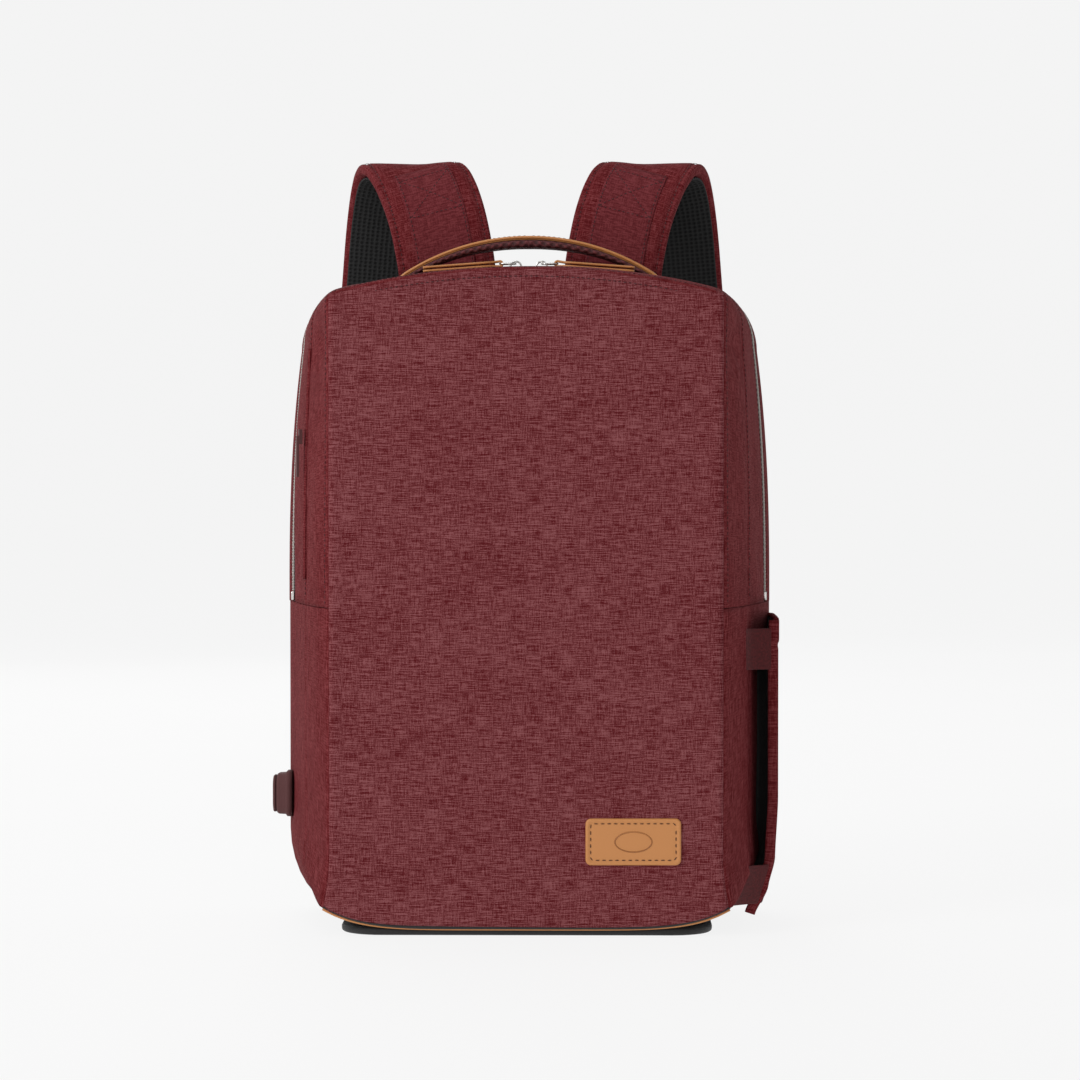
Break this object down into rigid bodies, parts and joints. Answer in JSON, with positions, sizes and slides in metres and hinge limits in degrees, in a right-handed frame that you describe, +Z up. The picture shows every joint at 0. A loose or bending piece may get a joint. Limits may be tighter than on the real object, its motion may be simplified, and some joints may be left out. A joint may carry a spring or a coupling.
{
  "type": "travel backpack",
  "caption": "Burgundy laptop travel backpack with a half-height zipped lid, tan leather trims and padded shoulder straps.",
  "frame": {"origin": "centre of the base panel's underside, on the floor", "axes": "+Z up, -Y out of the front panel, +X to the bottle pocket's side"},
  "size_m": [0.3128, 0.244, 0.4786],
  "materials": {
    "burgundy_fabric": "heathered polyester weave with fine horizontal slubs",
    "webbing": "ribbed dark burgundy webbing",
    "tan_leather": "smooth tan leather with a darker cut edge",
    "air_mesh": "black spacer mesh",
    "open_mesh": "black open mesh",
    "lining": "black woven lining",
    "base_cloth": "coated black cloth",
    "elastic": "black elastic cloth",
    "zip_tape": "black woven zip tape",
    "zip_coil": "metallised zip coil",
    "nickel": "bright nickel plate",
    "black_plastic": "moulded acetal",
    "frame_plastic": "sheet polyethylene",
    "port_rubber": "soft-touch burgundy moulding"
  },
  "bodies": {
    "pack": {"back_panel": "lining", "frame_sheet": "frame_plastic", "back_pad_left": "air_mesh", "back_pad_right": "air_mesh", "lumbar_pad": "air_mesh", "laptop_sleeve": "lining", "tablet_pocket": "lining", "rear_gusset": "burgundy_fabric", "lower_gusset": "burgundy_fabric", "lower_front_panel": "burgundy_fabric", "divider_lower": "lining", "base_panel": "base_cloth", "base_piping": "tan_leather", "badge": "tan_leather", "usb_housing": "port_rubber", "usb_socket": "nickel", "zip_rear_tape": "zip_tape", "zip_rear_teeth": "zip_coil", "handle_anchor_left": "tan_leather", "handle_anchor_right": "tan_leather", "strap_yoke": "burgundy_fabric", "wing_left": "burgundy_fabric", "wing_right": "burgundy_fabric", "luggage_strap": "webbing", "bottle_gusset": "elastic"},
    "lid": {"upper_front_panel": "burgundy_fabric", "upper_gusset": "burgundy_fabric", "divider_upper": "lining", "mesh_pocket": "open_mesh", "zip_front_tape": "zip_tape", "zip_front_teeth": "zip_coil", "side_zip": "zip_tape"},
    "left_slider": {"slider_left": "nickel"},
    "right_slider": {"slider_right": "nickel"},
    "left_link": {"link_left": "nickel"},
    "right_link": {"link_right": "nickel"},
    "left_pull": {"pull_left": "tan_leather"},
    "right_pull": {"pull_right": "tan_leather"},
    "top_handle": {"handle_leather": "tan_leather", "handle_webbing": "webbing"},
    "left_strap": {"strap_pad_left": "burgundy_fabric", "strap_mesh_left": "air_mesh", "strap_patch_left": "burgundy_fabric", "ladder_lock_left": "black_plastic", "strap_webbing_left": "webbing"},
    "right_strap": {"strap_pad_right": "burgundy_fabric", "strap_mesh_right": "air_mesh", "strap_patch_right": "burgundy_fabric", "ladder_lock_right": "black_plastic", "strap_webbing_right": "webbing"},
    "bottle_pocket": {"bottle_panel": "burgundy_fabric", "bottle_tab_top": "burgundy_fabric", "bottle_tab_bottom": "burgundy_fabric"},
    "port_cap": {"usb_cap": "port_rubber"},
    "side_zip_slider": {"side_slider": "port_rubber"}
  },
  "joints": [
    {"name": "lid_hinge", "type": "hinge", "parent": "pack", "child": "lid", "pos_m": [0, -0.076, 0.1945], "axis": [1, 0, 0], "range_deg": [0, 55]},
    {"name": "left_slider_travel", "type": "hinge", "parent": "lid", "child": "left_slider", "pos_m": [0, 0.03, -0.2051], "axis": [0, -1, 0], "range_deg": [0, 7]},
    {"name": "right_slider_travel", "type": "hinge", "parent": "lid", "child": "right_slider", "pos_m": [0, 0.03, -0.2051], "axis": [0, 1, 0], "range_deg": [0, 7]},
    {"name": "left_link_lift", "type": "hinge", "parent": "left_slider", "child": "left_link", "pos_m": [-0.0085, 0.03, 0.40647], "axis": [0, 1, 0], "range_deg": [0, 60]},
    {"name": "right_link_lift", "type": "hinge", "parent": "right_slider", "child": "right_link", "pos_m": [0.0085, 0.03, 0.40647], "axis": [0, -1, 0], "range_deg": [0, 60]},
    {"name": "left_pull_lift", "type": "hinge", "parent": "left_link", "child": "left_pull", "pos_m": [-0.018, 0.03, 0.40647], "axis": [0, 1, 0], "range_deg": [0, 70]},
    {"name": "right_pull_lift", "type": "hinge", "parent": "right_link", "child": "right_pull", "pos_m": [0.018, 0.03, 0.40647], "axis": [0, -1, 0], "range_deg": [0, 70]},
    {"name": "handle_tilt", "type": "hinge", "parent": "pack", "child": "top_handle", "pos_m": [0, 0.05, 0.4004], "axis": [1, 0, 0], "range_deg": [-20, 22]},
    {"name": "left_strap_swing", "type": "hinge", "parent": "pack", "child": "left_strap", "pos_m": [-0.052, 0.084, 0.392], "axis": [-0.1996, -0.0084, -0.9798], "range_deg": [-12, 12]},
    {"name": "right_strap_swing", "type": "hinge", "parent": "pack", "child": "right_strap", "pos_m": [0.052, 0.084, 0.392], "axis": [-0.1996, 0.0084, 0.9798], "range_deg": [-12, 12]},
    {"name": "bottle_pocket_stretch", "type": "hinge", "parent": "pack", "child": "bottle_pocket", "pos_m": [0.1521, 0.045, 0.1], "axis": [0, 0, 1], "range_deg": [0, 25], "stiffness_Nm_per_rad": 0.2},
    {"name": "port_cap_hinge", "type": "hinge", "parent": "pack", "child": "port_cap", "pos_m": [-0.1587, 0.028, 0.087], "axis": [0, 1, 0], "range_deg": [0, 100]},
    {"name": "side_zip_travel", "type": "slide", "parent": "lid", "child": "side_zip_slider", "axis": [-0.0188, 0, -0.9998], "range_m": [0, 0.075]}
  ]
}
